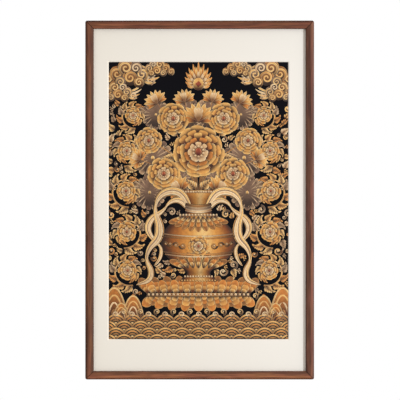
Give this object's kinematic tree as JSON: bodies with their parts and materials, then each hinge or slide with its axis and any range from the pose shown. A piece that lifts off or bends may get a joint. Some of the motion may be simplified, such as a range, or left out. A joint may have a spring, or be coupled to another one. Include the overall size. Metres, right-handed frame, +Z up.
{
  "type": "thangka textile panel in a wooden frame",
  "caption": "Flat embroidered thangka textile panel behind a cream bevelled window mat, in a slim mitred walnut frame that hangs on a wall.",
  "frame": {"origin": "middle of the top rail's back face, where the frame hangs on a wall", "axes": "+Z up the panel, +Y out of the back towards the wall, +X to the right as seen from the front"},
  "size_m": [0.58, 0.028, 0.91],
  "materials": {
    "walnut": "satin",
    "mat_board": "matte",
    "thangka_cloth": "satin thread",
    "backing": "matte hardboard"
  },
  "bodies": {
    "root": {"rail_top": "walnut", "rail_bottom": "walnut", "rail_left": "walnut", "rail_right": "walnut", "window_mat": "mat_board", "textile_panel": "thangka_cloth", "backing_board": "backing"}
  },
  "joints": []
}
